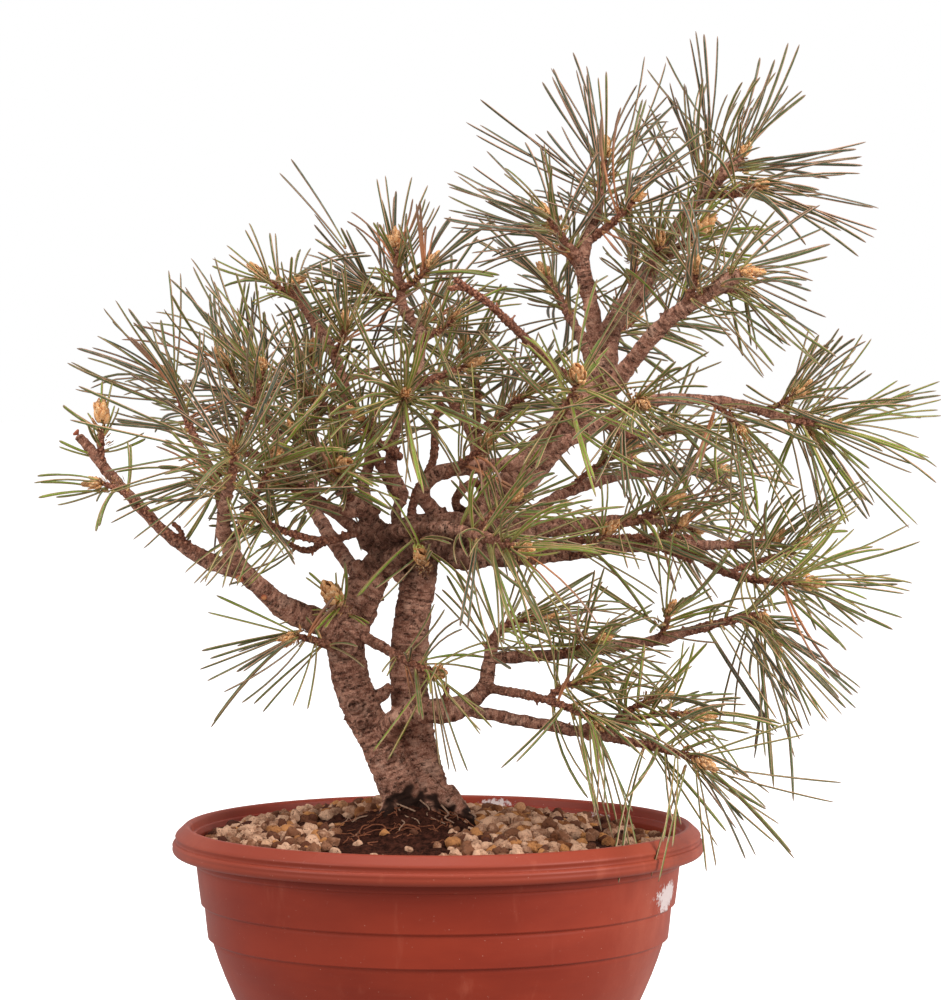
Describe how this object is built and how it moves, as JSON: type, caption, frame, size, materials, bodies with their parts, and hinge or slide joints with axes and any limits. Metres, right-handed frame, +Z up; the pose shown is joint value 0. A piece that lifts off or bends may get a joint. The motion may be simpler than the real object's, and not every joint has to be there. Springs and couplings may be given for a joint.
{
  "type": "bonsai tree in a pot",
  "caption": "Pine bonsai with two leaning trunks, low spreading limbs and tufts of long paired needles, in a round terracotta-coloured plastic bowl topped with grit.",
  "frame": {"origin": "centre of the underside of the bowl, on the surface that it stands on", "axes": "+X to the viewer's right, +Y away from the viewer, +Z up"},
  "size_m": [0.511, 0.337, 0.594],
  "materials": {
    "bowl_plastic": "satin",
    "peat": "matte",
    "grit": "matte",
    "bark": "matte",
    "needle": "satin"
  },
  "bodies": {
    "root": {"bowl": "bowl_plastic", "soil_fill": "peat", "left_trunk": "bark", "right_trunk": "bark", "left_limb": "bark", "left_low_twig": "bark", "crossing_twig": "bark", "hub_left_branch": "bark", "left_back_branch": "bark", "center_branch": "bark", "main_branch": "bark", "upper_front_branch": "bark", "upper_inner_branch": "bark", "loop_branch": "bark", "front_branch": "bark", "middle_branch": "bark", "back_branch": "bark", "lower_limb": "bark", "lower_upper_branch": "bark", "lower_front_branch": "bark", "peat_mound": "peat", "grit_topping": "grit", "outer_left_tuft": "needle", "outer_left_low_tuft": "needle", "left_high_tuft": "needle", "left_front_tuft": "needle", "left_mid_tuft": "needle", "left_back_tuft": "needle", "upper_left_tuft": "needle", "left_inner_tuft": "needle", "left_inner_front_tuft": "needle", "left_mid_front_tuft": "needle", "left_low_tuft": "needle", "left_far_back_tuft": "needle", "center_front_tuft": "needle", "crown_tuft": "needle", "center_back_tuft": "needle", "back_stem_tuft": "needle", "crossing_tuft": "needle", "hub_tuft": "needle", "front_tuft": "needle", "main_side_tuft": "needle", "main_side_low_tuft": "needle", "top_tuft": "needle", "main_inner_tuft": "needle", "upper_front_tuft": "needle", "upper_back_tuft": "needle", "loop_front_tuft": "needle", "loop_side_tuft": "needle", "loop_tip_tuft": "needle", "back_right_tuft": "needle", "middle_tuft": "needle", "fork_tuft": "needle", "back_middle_tuft": "needle", "lower_upper_tuft": "needle", "lower_inner_tuft": "needle", "lower_front_tuft": "needle", "lower_side_tuft": "needle", "lower_bud_tuft": "needle"}
  },
  "joints": []
}
